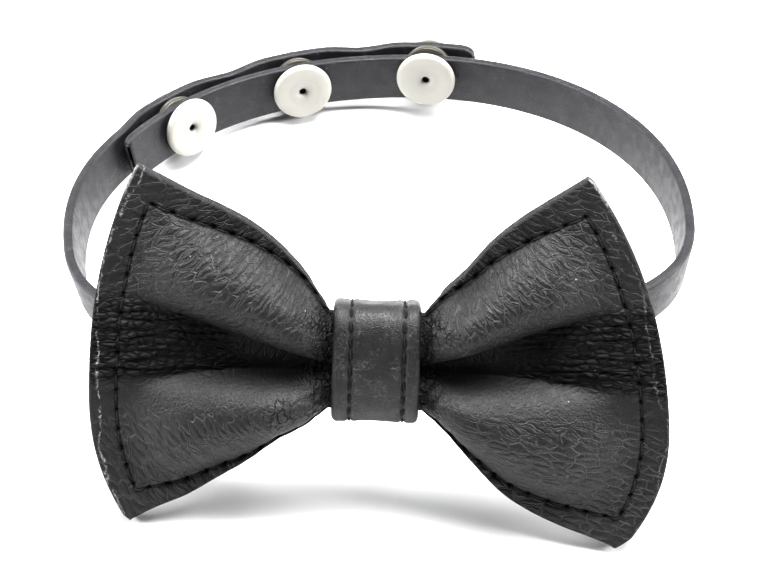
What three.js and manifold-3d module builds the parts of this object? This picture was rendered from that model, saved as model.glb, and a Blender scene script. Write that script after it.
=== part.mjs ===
// A pet's bow tie collar: a padded leather bow held by a knot band on a narrow leather strap.
// The strap overlaps itself behind the neck and closes there with three plastic snaps.
// Millimetres, +Z up, the bow facing -Y, standing on its two lower tips and on the back of the strap.
import * as THREE from 'three';
import { mergeVertices } from 'three/addons/utils/BufferGeometryUtils.js';
import Module from 'manifold-3d';

// Bow
const BOW_HALF_WIDTH = 55;
const BOW_HALF_HEIGHT = 36.3;
const BOW_WALL = 1.3;
const SEAM_MARGIN = 4.8;
const FRONT_LOBE = 8.5;
const BACK_LOBE = 4.5;
const WAIST_HALF_HEIGHT = 9.7;
const WAIST_BACK_HALF_HEIGHT = 7.4;
const PIECE_GAP = 0.3;

// Knot band
const KNOT_WIDTH = 16.4;
const KNOT_SIDE_ROOM = 0.7;
const WAIST_HALF_WIDTH = KNOT_WIDTH / 2 + KNOT_SIDE_ROOM;
const KNOT_WALL = 1.4;
const KNOT_EASE = 1.6;
const KNOT_CORNER = 2.4;

// Strap, laid as a closed ring
const STRAP_WIDTH = 10;
const STRAP_THICKNESS = 2;
const RING_HALF_WIDTH = 59.5;
const RING_BACK_DEPTH = 55.5;
const RING_FRONT_DEPTH = 31.5;
const RING_BACK_POWER = 2.1;
const RING_FRONT_POWER = 2.7;
const BACK_FLARE = 3;
const SIDE_FLARE = 11;
const FRONT_FLARE = -14;
const BACK_EASE = 1.3;
const FRONT_EASE = 2.2;
const OUTER_END = 70.5;
const INNER_END = 150;
const LAYER_REST = 1.5;
const MERGE_ANGLE = 50;

// Snaps
const CAP_RADIUS = 6.2;
const CAP_HEIGHT = 1.7;
const BACK_CAP_RADIUS = 4.4;
const BACK_CAP_HEIGHT = 1;
const PIN_RADIUS = 0.8;
const SOCKET_RADIUS = 5.2;
const SOCKET_BORE = 2.4;
const SOCKET_HEIGHT = 1.2;
const STUD_RADIUS = 4.8;
const STUD_POST = 1.9;
const STUD_BASE = 0.6;
const PIN_HOLE = 1.2;
const SNAP_SWELL = 9;
const BEND_ROOM = 1.4;

// How the bow sits on the strap
const BOW_LEAN = 20;
const BOW_TURN = 4;
const BOW_RISE = 0.3;
const BOW_SHIFT = -1.4;
const BOW_CLEARANCE = 0.8;

// Snap places: degrees round the ring from the right side, and rise above the strap's middle.
const SNAPS = [
  { around: 134.5, rise: 0 },
  { around: 107.5, rise: 0 },
  { around: 79.7, rise: 0.9 },
];

// Wing outlines, as shares of the bow's half width and half height.
const LEFT_WING = {
  side: -1,
  topTip: { x: 0.82, y: 1.026 },
  lowTip: { x: 0.85, y: -0.945 },
  bulge: 0.145,
  bulgeAt: -0.2,
  bulgePower: 2.4,
  top: 'leftTop',
  low: 'leftLow',
};
const RIGHT_WING = {
  side: 1,
  topTip: { x: 0.7, y: 1.025 },
  lowTip: { x: 0.875, y: -1.035 },
  bulge: 0.205,
  bulgeAt: -0.2,
  bulgePower: 2.4,
  top: 'rightTop',
  low: 'rightLow',
};

// How far each edge has climbed from the waist to its tip, against the run along the wing.
const EDGE_ROWS = [
  { run: 0, leftTop: 0, leftLow: 0, rightTop: 0, rightLow: 0 },
  { run: 0.1, leftTop: 0.21, leftLow: 0.14, rightTop: 0.14, rightLow: 0.13 },
  { run: 0.25, leftTop: 0.44, leftLow: 0.28, rightTop: 0.31, rightLow: 0.37 },
  { run: 0.4, leftTop: 0.6, leftLow: 0.46, rightTop: 0.51, rightLow: 0.59 },
  { run: 0.55, leftTop: 0.71, leftLow: 0.61, rightTop: 0.66, rightLow: 0.73 },
  { run: 0.7, leftTop: 0.8, leftLow: 0.76, rightTop: 0.78, rightLow: 0.83 },
  { run: 0.85, leftTop: 0.9, leftLow: 0.87, rightTop: 0.89, rightLow: 0.91 },
  { run: 1, leftTop: 1, leftLow: 1, rightTop: 1, rightLow: 1 },
];

// The folds along a wing: the valley's two sides as shares of the half height, and the padding
// above and below it as shares of the lobe.
const FOLD_ROWS = [
  { run: 0, valleyTop: -0.02, valleyLow: -0.07, upper: 0.28, lower: 0.28, back: 0 },
  { run: 0.1, valleyTop: 0.01, valleyLow: -0.065, upper: 0.75, lower: 0.72, back: 0.25 },
  { run: 0.2, valleyTop: 0.04, valleyLow: -0.06, upper: 1, lower: 0.95, back: 0.85 },
  { run: 0.4, valleyTop: 0.12, valleyLow: -0.06, upper: 0.95, lower: 0.9, back: 1 },
  { run: 0.6, valleyTop: 0.21, valleyLow: -0.085, upper: 0.74, lower: 0.72, back: 0.8 },
  { run: 0.8, valleyTop: 0.28, valleyLow: -0.13, upper: 0.45, lower: 0.48, back: 0.45 },
  { run: 1, valleyTop: 0.31, valleyLow: -0.17, upper: 0.3, lower: 0.32, back: 0.3 },
];

// A lobe across its width, from the valley to the seam.
const LOBE_ROWS = [
  { across: 0, rise: 0 },
  { across: 0.1, rise: 0.46 },
  { across: 0.24, rise: 0.82 },
  { across: 0.42, rise: 1 },
  { across: 0.62, rise: 0.92 },
  { across: 0.82, rise: 0.56 },
  { across: 1, rise: 0 },
];

const WING_STATIONS = [0, 0.05, 0.11, 0.18, 0.26, 0.35, 0.44, 0.53, 0.62, 0.71, 0.79, 0.86, 0.915, 0.96, 1];
const LOBE_STEPS = [0.05, 0.12, 0.24, 0.42, 0.62, 0.82];
const RING_STEP = 4;
const ROUND_SIDES = 16;

const wasm = await Module();
wasm.setup();

const rad = THREE.MathUtils.degToRad;
const lerp = THREE.MathUtils.lerp;
const smooth = (x, from, to) => THREE.MathUtils.smoothstep(x, from, to);

// Straight-line reading of a table between its rows.
function read(rows, key, at, column) {
  const last = rows.length - 1;
  if (at <= rows[0][key]) return rows[0][column];
  for (let i = 1; i <= last; i++) {
    if (at <= rows[i][key]) {
      const share = (at - rows[i - 1][key]) / (rows[i][key] - rows[i - 1][key]);
      return lerp(rows[i - 1][column], rows[i][column], share);
    }
  }
  return rows[last][column];
}

// Leather and plastic
const bowLeather = new THREE.MeshStandardMaterial({ color: 0x1c1c1e, roughness: 0.52 });
const bandLeather = new THREE.MeshStandardMaterial({ color: 0x202022, roughness: 0.45 });
const strapLeather = new THREE.MeshStandardMaterial({ color: 0x2a2a2b, roughness: 0.5 });
const creamPlastic = new THREE.MeshStandardMaterial({ color: 0xece9dc, roughness: 0.35 });

function piece(name, geometry, material) {
  const mesh = new THREE.Mesh(geometry, material);
  mesh.name = name;
  return mesh;
}

// Where the two long edges and the side edge of a wing run.
function edgeAt(run, tip, column, waistHalf) {
  const startY = Math.sign(tip.y) * waistHalf;
  return {
    x: lerp(WAIST_HALF_WIDTH, tip.x * BOW_HALF_WIDTH, run),
    y: lerp(startY, tip.y * BOW_HALF_HEIGHT, read(EDGE_ROWS, 'run', run, column)),
  };
}

// One station across the bow: rows of points from the low edge to the top edge.
function station(wing, run, lobes) {
  const waistHalf = lerp(lobes.waistHalf, WAIST_HALF_HEIGHT, smooth(run, 0, 0.12));
  const top = edgeAt(run, wing.topTip, wing.top, waistHalf);
  const low = edgeAt(run, wing.lowTip, wing.low, waistHalf);
  const margin = Math.min(SEAM_MARGIN, (top.y - low.y) * 0.11);
  const fold = (column) => read(FOLD_ROWS, 'run', run, column);
  const valley = lobes.valley(fold, wing, run);
  const sideShare = smooth(1 - run, SEAM_MARGIN / BOW_HALF_WIDTH, 0.42);
  const sideLift = 1 - (1 - sideShare) ** 2;
  const rows = [];
  const add = (y, rise) => {
    const h = ((y - low.y) / (top.y - low.y)) * 2 - 1;
    const off = (h - wing.bulgeAt) / (h > wing.bulgeAt ? 1 - wing.bulgeAt : 1 + wing.bulgeAt);
    const belly = wing.bulge * BOW_HALF_WIDTH * (1 - Math.abs(off) ** wing.bulgePower) * run * run;
    const x = lerp(low.x, top.x, (h + 1) / 2) + belly;
    rows.push({ x: wing.side * x, y, rise });
  };
  const lobe = (from, to, height) => (across) => {
    const rise = height * read(LOBE_ROWS, 'across', across, 'rise') * sideLift;
    add(lerp(from, to, across), rise);
  };
  const lower = lobe(valley.low, low.y + margin, lobes.lower(fold));
  const upper = lobe(valley.top, top.y - margin, lobes.upper(fold));
  add(low.y, 0);
  lower(1);
  [...LOBE_STEPS].reverse().forEach(lower);
  lower(0);
  add((valley.low + valley.top) / 2, 0);
  upper(0);
  LOBE_STEPS.forEach(upper);
  upper(1);
  add(top.y, 0);
  return rows;
}

// All the stations from the left side edge, through the waist, to the right side edge.
function bowStations(lobes) {
  const left = [...WING_STATIONS].reverse().map((run) => station(LEFT_WING, run, lobes));
  const right = WING_STATIONS.map((run) => station(RIGHT_WING, run, lobes));
  return [...left, ...right];
}

const FRONT_FOLDS = {
  waistHalf: WAIST_HALF_HEIGHT,
  valley: (fold) => ({
    top: fold('valleyTop') * BOW_HALF_HEIGHT,
    low: fold('valleyLow') * BOW_HALF_HEIGHT,
  }),
  upper: (fold) => fold('upper') * FRONT_LOBE,
  lower: (fold) => fold('lower') * FRONT_LOBE,
};

// Behind, the valley stays as wide as the strap that lies in it.
const BACK_FOLDS = {
  waistHalf: WAIST_BACK_HALF_HEIGHT,
  valley: (fold, wing, run) => {
    const half = lerp(WAIST_BACK_HALF_HEIGHT * 0.85, STRAP_WIDTH * 1.05, smooth(run, 0, 0.15));
    return { top: half, low: -half };
  },
  upper: (fold) => fold('back') * BACK_LOBE,
  lower: (fold) => fold('back') * BACK_LOBE,
};

// A leather sheet between an outer and an inner skin; way is 1 for the front, -1 for the back.
function sheetGeometry(stations, way) {
  const rows = stations[0].length;
  const at = (i, j) => stations[Math.min(Math.max(i, 0), stations.length - 1)][
    Math.min(Math.max(j, 0), rows - 1)];
  const outer = [];
  const inner = [];
  stations.forEach((line, i) => {
    line.forEach((point, j) => {
      const across = at(i + 1, j);
      const back = at(i - 1, j);
      const up = at(i, j + 1);
      const down = at(i, j - 1);
      const a = new THREE.Vector3(across.x - back.x, across.y - back.y, across.rise - back.rise);
      const b = new THREE.Vector3(up.x - down.x, up.y - down.y, up.rise - down.rise);
      const facing = Math.abs(a.cross(b).normalize().z);
      const face = PIECE_GAP / 2 + BOW_WALL + point.rise;
      const under = Math.max(PIECE_GAP / 2, face - BOW_WALL / Math.max(facing, 0.6));
      outer.push(point.x, point.y, way * face);
      inner.push(point.x, point.y, way * under);
    });
  });
  const half = outer.length / 3;
  const index = [];
  const quad = (a, b, c, d) => (way > 0
    ? index.push(a, b, c, a, c, d)
    : index.push(a, c, b, a, d, c));
  const last = stations.length - 1;
  for (let i = 0; i < last; i++) {
    for (let j = 0; j < rows - 1; j++) {
      const a = i * rows + j;
      const b = a + rows;
      quad(a, b, b + 1, a + 1);
      quad(half + a, half + a + 1, half + b + 1, half + b);
    }
    const low = i * rows;
    const top = low + rows - 1;
    quad(half + low, half + low + rows, low + rows, low);
    quad(top, top + rows, half + top + rows, half + top);
  }
  for (let j = 0; j < rows - 1; j++) {
    const end = last * rows + j;
    quad(half + j, j, j + 1, half + j + 1);
    quad(end, half + end, half + end + 1, end + 1);
  }
  const geometry = new THREE.BufferGeometry();
  geometry.setAttribute('position', new THREE.Float32BufferAttribute([...outer, ...inner], 3));
  geometry.setIndex(index);
  geometry.computeVertexNormals();
  return geometry;
}

// The ring that the strap's middle follows: its point and outward direction at an angle.
function ringAt(degrees) {
  const angle = rad(degrees);
  const c = Math.cos(angle);
  const s = Math.sin(angle);
  const behind = s >= 0;
  const power = behind ? RING_BACK_POWER : RING_FRONT_POWER;
  const depth = behind ? RING_BACK_DEPTH : RING_FRONT_DEPTH;
  const wide = Math.abs(c / RING_HALF_WIDTH) ** power + Math.abs(s / depth) ** power;
  const reach = wide ** (-1 / power);
  const x = reach * c;
  const y = reach * s;
  const nx = Math.sign(x) * (Math.abs(x) ** (power - 1) / RING_HALF_WIDTH ** power);
  const ny = Math.sign(y) * (Math.abs(y) ** (power - 1) / depth ** power);
  const size = Math.hypot(nx, ny);
  const sideways = Math.abs(c) ** (behind ? BACK_EASE : FRONT_EASE);
  const flare = rad(lerp(behind ? BACK_FLARE : FRONT_FLARE, SIDE_FLARE, sideways));
  return {
    middle: new THREE.Vector3(x, y, 0),
    outward: new THREE.Vector3((nx / size) * Math.cos(flare), (ny / size) * Math.cos(flare), -Math.sin(flare)),
    upward: new THREE.Vector3((nx / size) * Math.sin(flare), (ny / size) * Math.sin(flare), Math.cos(flare)),
  };
}

// A flat round piece on the hollow side of a bend stands this far off it.
const bendRise = (radius) => (BEND_ROOM * radius ** 2)
  / (2 * Math.min(RING_HALF_WIDTH, RING_BACK_DEPTH));
const SNAP_LAYERS = PIECE_GAP * 3 + SOCKET_HEIGHT + STUD_BASE + bendRise(STUD_RADIUS);

// How far the outer layer of the strap lies outside the ring.
function outerLayer(degrees) {
  const here = ringAt(degrees).middle;
  const near = SNAPS.map((snap) => here.distanceTo(ringAt(snap.around).middle));
  const swell = Math.max(...near.map((far) => 1 - smooth(far, STUD_RADIUS + 0.6, STUD_RADIUS + SNAP_SWELL)));
  const apart = STRAP_THICKNESS + lerp(LAYER_REST, SNAP_LAYERS, swell);
  return apart * (1 - smooth(degrees, INNER_END + 2, INNER_END + 2 + MERGE_ANGLE));
}

// Sections of the strap from the outer end, once round, to the inner end.
function strapSections() {
  const finish = 360 + INNER_END;
  const sections = [];
  for (let a = OUTER_END; a < finish - RING_STEP * 0.4; a += RING_STEP) sections.push(a);
  sections.push(finish);
  return sections.map((degrees, i) => {
    const { middle, outward, upward } = ringAt(degrees);
    const centre = middle.clone();
    if (degrees < 360 - INNER_END) centre.addScaledVector(outward, outerLayer(degrees));
    const end = i === 0 || i === sections.length - 1;
    const half = (STRAP_WIDTH / 2) * (end ? 0.93 : 1);
    const corner = (out, up) => centre.clone()
      .addScaledVector(outward, (out * STRAP_THICKNESS) / 2)
      .addScaledVector(upward, up * half);
    return [corner(1, -1), corner(1, 1), corner(-1, 1), corner(-1, -1)];
  });
}

function strapGeometry() {
  const sections = strapSections();
  const positions = sections.flat().flatMap((p) => p.toArray());
  const index = [];
  const quad = (a, b, c, d) => index.push(a, b, c, a, c, d);
  for (let i = 0; i < sections.length - 1; i++) {
    for (let k = 0; k < 4; k++) {
      const a = i * 4 + k;
      const b = i * 4 + ((k + 1) % 4);
      quad(a, a + 4, b + 4, b);
    }
  }
  const end = (sections.length - 1) * 4;
  quad(0, 1, 2, 3);
  quad(end + 3, end + 2, end + 1, end);
  const geometry = new THREE.BufferGeometry();
  geometry.setAttribute('position', new THREE.Float32BufferAttribute(positions, 3));
  geometry.setIndex(index);
  return geometry;
}

function solidFrom(geometry, matrix) {
  const bare = new THREE.BufferGeometry();
  bare.setAttribute('position', geometry.getAttribute('position').clone());
  bare.setIndex(geometry.index);
  if (matrix) bare.applyMatrix4(matrix);
  const merged = mergeVertices(bare, 1e-4);
  return new wasm.Manifold(new wasm.Mesh({
    numProp: 3,
    vertProperties: merged.attributes.position.array,
    triVerts: new Uint32Array(merged.index.array),
  }));
}

function geometryFrom(solid) {
  const mesh = solid.getMesh();
  const geometry = new THREE.BufferGeometry();
  geometry.setAttribute('position', new THREE.Float32BufferAttribute(mesh.vertProperties, 3));
  geometry.setIndex(new THREE.Uint32BufferAttribute(mesh.triVerts, 1));
  geometry.computeVertexNormals();
  return geometry;
}

// A snap's own frame: its middle on the inner layer, its axis pointing out of the ring.
function snapFrame(snap) {
  const { middle, outward, upward } = ringAt(snap.around);
  const side = new THREE.Vector3().crossVectors(outward, upward);
  const matrix = new THREE.Matrix4().makeBasis(side, outward, upward);
  const origin = middle.clone().addScaledVector(upward, snap.rise);
  return matrix.setPosition(origin);
}

// The strap with a hole through both layers at each snap.
function strap() {
  const reach = STRAP_THICKNESS * 4 + SNAP_LAYERS * 2;
  const drill = new THREE.CylinderGeometry(PIN_HOLE, PIN_HOLE, reach, 12);
  let solid = solidFrom(strapGeometry());
  SNAPS.forEach((snap) => {
    solid = solid.subtract(solidFrom(drill, snapFrame(snap)));
  });
  return piece('strap', geometryFrom(solid), strapLeather);
}

const turned = (points, sides = ROUND_SIDES) => new THREE.LatheGeometry(
  points.map(([r, y]) => new THREE.Vector2(r, y)), sides);

// A snap cap whose foot is at y = 0 and whose face looks along +y, with its pin below.
function capGeometry(radius, height, pinLength) {
  const dimple = radius * 0.36;
  return turned([
    [0, -pinLength],
    [PIN_RADIUS, -pinLength],
    [PIN_RADIUS, 0],
    [radius * 0.94, 0],
    [radius, height * 0.35],
    [radius * 0.88, height * 0.82],
    [radius * 0.6, height],
    [dimple, height],
    [0, height * 0.45],
  ]);
}

function socketGeometry() {
  return turned([
    [SOCKET_BORE, 0],
    [SOCKET_RADIUS, 0],
    [SOCKET_RADIUS * 0.93, SOCKET_HEIGHT],
    [SOCKET_BORE, SOCKET_HEIGHT],
    [SOCKET_BORE, 0],
  ]);
}

// The stud's base with its post pointing down and a blind hole for the pin from above.
function studGeometry(post, blind) {
  return turned([
    [0, -post],
    [STUD_POST, -post],
    [STUD_POST, 0],
    [STUD_RADIUS, 0],
    [STUD_RADIUS, STUD_BASE],
    [PIN_HOLE, STUD_BASE],
    [PIN_HOLE, STUD_BASE - blind],
    [0, STUD_BASE - blind],
  ]);
}

// The four pieces of one snap, stacked along its axis.
function snapPieces(snap, number) {
  const group = new THREE.Group();
  snapFrame(snap).decompose(group.position, group.quaternion, group.scale);
  const innerFace = STRAP_THICKNESS / 2;
  const capFoot = innerFace + PIECE_GAP + bendRise(CAP_RADIUS);
  const socketFoot = innerFace + PIECE_GAP;
  const studFoot = socketFoot + SOCKET_HEIGHT + PIECE_GAP;
  const pinTop = socketFoot + SOCKET_HEIGHT * 0.2;
  const post = studFoot - pinTop - PIECE_GAP;
  const outerFace = innerFace + SNAP_LAYERS + STRAP_THICKNESS;
  const blind = STUD_BASE * 0.6;

  const innerCap = piece(`snap_inner_cap_${number}`, capGeometry(CAP_RADIUS, CAP_HEIGHT, capFoot + pinTop), creamPlastic);
  innerCap.rotation.x = Math.PI;
  innerCap.position.y = -capFoot;

  const socket = piece(`snap_socket_${number}`, socketGeometry(), creamPlastic);
  socket.position.y = socketFoot;

  const stud = piece(`snap_stud_${number}`, studGeometry(post, blind), creamPlastic);
  stud.position.y = studFoot;

  const outerFoot = outerFace + PIECE_GAP;
  const pin = outerFoot - (studFoot + STUD_BASE - blind) - PIECE_GAP;
  const backCap = piece(`snap_back_cap_${number}`, capGeometry(BACK_CAP_RADIUS, BACK_CAP_HEIGHT, pin), creamPlastic);
  backCap.position.y = outerFoot;

  group.add(innerCap, socket, stud, backCap);
  return group;
}

// A closed path round four or more corners, each rounded by the same radius.
function roundedPath(path, corners, radius) {
  const toward = (from, to) => to.clone().sub(from).setLength(radius);
  corners.forEach((corner, i) => {
    const before = corners[(i + corners.length - 1) % corners.length];
    const after = corners[(i + 1) % corners.length];
    const enter = corner.clone().add(toward(corner, before));
    const leave = corner.clone().add(toward(corner, after));
    if (i === 0) path.moveTo(enter.x, enter.y);
    else path.lineTo(enter.x, enter.y);
    path.quadraticCurveTo(corner.x, corner.y, leave.x, leave.y);
  });
  path.closePath();
  return path;
}

// How far the bow's middle plane lies in front of the ring's front.
const LEAN_REACH = (STRAP_WIDTH / 2) * Math.abs(Math.tan(rad(BOW_LEAN)) + Math.tan(rad(FRONT_FLARE)));
const BOW_AHEAD = STRAP_THICKNESS / 2 + BOW_CLEARANCE + LEAN_REACH
  + (PIECE_GAP / 2 + BOW_WALL) / Math.cos(rad(BOW_LEAN));

// The band goes round the bow's waist and the strap behind it, narrower behind than in front.
function knotBand() {
  const waistFold = FRONT_LOBE * FOLD_ROWS[0].upper;
  const front = PIECE_GAP * 1.5 + BOW_WALL + waistFold;
  const back = PIECE_GAP * 2 + (BOW_AHEAD + STRAP_THICKNESS / 2 + LEAN_REACH) * Math.cos(rad(BOW_LEAN));
  const tall = WAIST_HALF_HEIGHT + KNOT_EASE;
  const short = Math.max(WAIST_BACK_HALF_HEIGHT, STRAP_WIDTH / 2 + BOW_RISE + PIECE_GAP)
    + KNOT_EASE / 2;
  const section = (wall) => [
    new THREE.Vector2(-front - wall, -tall - wall),
    new THREE.Vector2(back + wall, -short - wall),
    new THREE.Vector2(back + wall, short + wall),
    new THREE.Vector2(-front - wall, tall + wall),
  ];
  const outline = roundedPath(new THREE.Shape(), section(KNOT_WALL), KNOT_CORNER);
  outline.holes.push(roundedPath(new THREE.Path(), section(0), KNOT_CORNER - KNOT_WALL));
  const geometry = new THREE.ExtrudeGeometry(outline, {
    depth: KNOT_WIDTH, bevelEnabled: false, curveSegments: 5, steps: 1,
  });
  const band = piece('knot_band', geometry, bandLeather);
  band.rotation.y = Math.PI / 2;
  band.position.x = -KNOT_WIDTH / 2;
  return band;
}

function bow() {
  const group = new THREE.Group();
  group.add(piece('bow_front_panel', sheetGeometry(bowStations(FRONT_FOLDS), 1), bowLeather));
  group.add(piece('bow_back_panel', sheetGeometry(bowStations(BACK_FOLDS), -1), bowLeather));
  group.add(knotBand());
  const lean = rad(BOW_LEAN);
  group.rotation.set(Math.PI / 2 - lean, 0, -rad(BOW_TURN));
  group.position.set(
    BOW_SHIFT,
    -RING_FRONT_DEPTH - BOW_AHEAD + BOW_RISE * Math.sin(lean),
    BOW_RISE * Math.cos(lean));
  return group;
}

// Every corner of the pieces under a group, in that group's frame.
function cornersOf(group, wanted) {
  const points = [];
  group.updateMatrixWorld(true);
  group.traverse((o) => {
    if (!o.isMesh || !wanted(o.name)) return;
    const p = o.geometry.getAttribute('position');
    for (let i = 0; i < p.count; i++) {
      points.push(new THREE.Vector3().fromBufferAttribute(p, i).applyMatrix4(o.matrixWorld));
    }
  });
  return points;
}

// Stands the collar on its three lowest places: a bow tip each side, and the back of the strap.
function standOnFloor(collar) {
  const bowCorners = cornersOf(collar, (name) => name.startsWith('bow'));
  const backCorners = cornersOf(collar, (name) => name === 'strap' || name.startsWith('snap'));
  const feet = [
    bowCorners.filter((p) => p.x < 0),
    bowCorners.filter((p) => p.x > 0),
    backCorners.filter((p) => p.y > 0),
  ];
  const up = new THREE.Vector3(0, 0, 1);
  for (let round = 0; round < 8; round++) {
    const [left, right, back] = feet.map((points) => points.reduce(
      (lowest, p) => (p.dot(up) < lowest.dot(up) ? p : lowest)));
    up.crossVectors(right.clone().sub(left), back.clone().sub(left)).normalize();
  }
  collar.quaternion.setFromUnitVectors(up, new THREE.Vector3(0, 0, 1));
  const box = new THREE.Box3().setFromPoints(cornersOf(collar, () => true));
  const centre = box.getCenter(new THREE.Vector3());
  collar.position.set(-centre.x, -centre.y, -box.min.z);
  return collar;
}

const collar = new THREE.Group();
collar.add(bow(), strap());
SNAPS.forEach((snap, i) => collar.add(snapPieces(snap, i + 1)));

const group = new THREE.Group();
group.add(standOnFloor(collar));

export default group;
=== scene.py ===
import math

import bpy
import numpy as np
from mathutils import Matrix, Quaternion, Vector


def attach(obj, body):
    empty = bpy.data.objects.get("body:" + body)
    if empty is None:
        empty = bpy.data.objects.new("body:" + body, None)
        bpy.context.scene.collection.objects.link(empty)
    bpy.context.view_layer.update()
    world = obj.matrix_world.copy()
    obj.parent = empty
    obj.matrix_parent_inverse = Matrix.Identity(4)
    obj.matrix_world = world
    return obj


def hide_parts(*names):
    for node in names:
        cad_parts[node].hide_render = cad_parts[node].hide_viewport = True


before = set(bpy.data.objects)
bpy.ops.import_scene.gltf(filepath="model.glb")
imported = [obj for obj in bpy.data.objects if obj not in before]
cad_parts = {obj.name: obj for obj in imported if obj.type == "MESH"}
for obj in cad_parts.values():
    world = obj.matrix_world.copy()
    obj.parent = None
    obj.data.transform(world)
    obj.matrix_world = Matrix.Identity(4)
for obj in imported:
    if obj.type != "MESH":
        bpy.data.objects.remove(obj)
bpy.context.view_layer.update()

# Shapes are worked out in millimetres in the bow's or the ring's own axes, and placed in metres.
MM = 0.001

# The bow: x to the right, y up the bow, z out of its face
HALF_WIDTH = 55
HALF_HEIGHT = 36.3
WAIST_X = 8.9
WAIST_Y = 9.7
WAIST_BACK_Y = 7.4
WALL = 1.3
LAYER_GAP = 0.3
FRONT_LOBE = 8.5
BACK_LOBE = 4.5
SIDE_FLAT = 4.8
EDGE_ROUND = 0.35
LEAST_WALL = 0.25
RIM_FOOT = 0.04
SEAM_INSET = 5.2
SEAM_DEPTH = 0.3
STITCH = 3.9
PUCKER = 0.22
NEEDLE_DEPTH = 0.4
THREAD = 0.2
WRINKLE_STEP = 1.55
WRINKLE_DEPTH = 0.72
TIP_WEAR = 0.7

# The knot band
KNOT_WIDTH = 16.4
KNOT_WALL = 1.4
KNOT_CROWN = 1.7
KNOT_ROUND = 1.05
KNOT_ROOM = 1.6
KNOT_BACK_ROOM = 0.8
INNER_EASES = (1.1, 3.2, 3.2, 1.1)
OUTER_EASES = (2.4, 6.4, 6.4, 2.4)
KNOT_STITCH_AT = (-4.8, 5.2)
KNOT_STITCH = 2.9

# The strap's ring, and how the bow stands on it
STRAP_WIDTH = 10
STRAP_THICKNESS = 2
STRAP_ROUND = 0.55
RING_HALF_WIDTH = 59.5
RING_BACK_DEPTH = 55.5
RING_FRONT_DEPTH = 31.5
RING_BACK_POWER = 2.1
RING_FRONT_POWER = 2.7
BACK_FLARE = 3
SIDE_FLARE = 11
FRONT_FLARE = -14
BACK_EASE = 1.3
FRONT_EASE = 2.2
OUTER_END = 70.5
INNER_END = 150
LAYER_REST = 1.5
MERGE_ANGLE = 50
BOW_LEAN = 20
BOW_TURN = 4
BOW_RISE = 0.3
BOW_SHIFT = -1.4
BOW_CLEARANCE = 0.8

# The snaps
CAP_RADIUS = 6.2
CAP_HEIGHT = 1.7
CAP_HOLE = 0.66
BACK_CAP_RADIUS = 4.4
BACK_CAP_HEIGHT = 1
SOCKET_RADIUS = 5.2
SOCKET_BORE = 2.4
SOCKET_HEIGHT = 1.2
STUD_RADIUS = 4.8
STUD_POST = 1.9
STUD_BASE = 0.6
STUD_HOLLOW = 1.2
SNAP_SWELL = 9
BEND_ROOM = 1.4
AXIS = 0.001
SNAPS = [
    {"around": 134.5, "rise": 0},
    {"around": 107.5, "rise": 0},
    {"around": 79.7, "rise": 0.9},
]

# Crumpled places on each wing, each out from the middle, up, and how wide
LEFT_CRUMPLES = [(17.6, -8.8, 4.2), (11.0, -8.4, 3.4), (10.4, 8.8, 3.2)]
RIGHT_CRUMPLES = [(11.4, 8.0, 4.2), (10.6, -7.4, 3.4)]

# How far above the bow's middle the upper lobes' grain fans out from, and how far off the lower lobes' is
CREASE_CENTRE = 42
GRAIN_APART = 90

# The way across the grain on the lower lobes
LEFT_GRAIN = (0.84, 0.55)
RIGHT_GRAIN = (0.34, 0.94)

# How far a stitch's thread stands out of the leather, from its one hole to the next
STITCH_RISE = (-0.6, -0.05, 0.1, 0.14, 0.14, 0.1, -0.05, -0.6)

# Wing outlines, as shares of the half width and half height; a tip is rounded by its corner radius.
LEFT = {
    "side": -1, "top": (0.82, 1.026), "low": (0.85, -0.945), "belly": 0.145,
    "climb_top": "left_top", "climb_low": "left_low", "margin_low": "low_left",
    "corner_top": 0.6, "corner_low": 1.2, "crumples": LEFT_CRUMPLES, "wear": 1.0,
}
RIGHT = {
    "side": 1, "top": (0.7, 1.025), "low": (0.875, -1.035), "belly": 0.205,
    "climb_top": "right_top", "climb_low": "right_low", "margin_low": "low_right",
    "corner_top": 1.0, "corner_low": 2.6, "crumples": RIGHT_CRUMPLES, "wear": 0.4,
}
BELLY_AT = -0.2
BELLY_POWER = 2.4

# How far each long edge has climbed from the waist to its tip, against the run along the wing
EDGE_ROWS = {
    "run": [0, 0.1, 0.25, 0.4, 0.55, 0.7, 0.85, 1],
    "left_top": [0, 0.21, 0.44, 0.6, 0.71, 0.8, 0.9, 1],
    "left_low": [0, 0.14, 0.28, 0.46, 0.61, 0.76, 0.87, 1],
    "right_top": [0, 0.14, 0.31, 0.51, 0.66, 0.78, 0.89, 1],
    "right_low": [0, 0.13, 0.37, 0.59, 0.73, 0.83, 0.91, 1],
}

# The folds along a wing: the valley's sides as shares of the half height, the padding as shares of the lobe
FOLD_ROWS = {
    "run": [0, 0.1, 0.2, 0.4, 0.6, 0.8, 1],
    "valley_top": [-0.02, 0.01, 0.04, 0.12, 0.21, 0.28, 0.31],
    "valley_low": [-0.07, -0.065, -0.06, -0.06, -0.085, -0.13, -0.17],
    "upper": [0.28, 0.75, 1, 0.95, 0.74, 0.45, 0.3],
    "lower": [0.28, 0.72, 0.95, 0.9, 0.72, 0.48, 0.32],
    "back": [0, 0.25, 0.85, 1, 0.8, 0.45, 0.3],
}

# A lobe across its width, from the valley to the seam
LOBE_ROWS = {
    "across": [0, 0.1, 0.24, 0.42, 0.62, 0.82, 1],
    "rise": [0, 0.46, 0.82, 1, 0.92, 0.56, 0],
}

# How far the seam lies inside the long edges
MARGIN_ROWS = {
    "run": [0, 0.15, 0.3, 0.5, 0.75, 1],
    "top": [0.5, 1.3, 2.6, 3.8, 4.7, 5.4],
    "low_left": [0.4, 0.5, 0.8, 2.0, 3.4, 4.9],
    "low_right": [0.4, 1.0, 2.0, 3.2, 4.3, 5.3],
}

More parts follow.
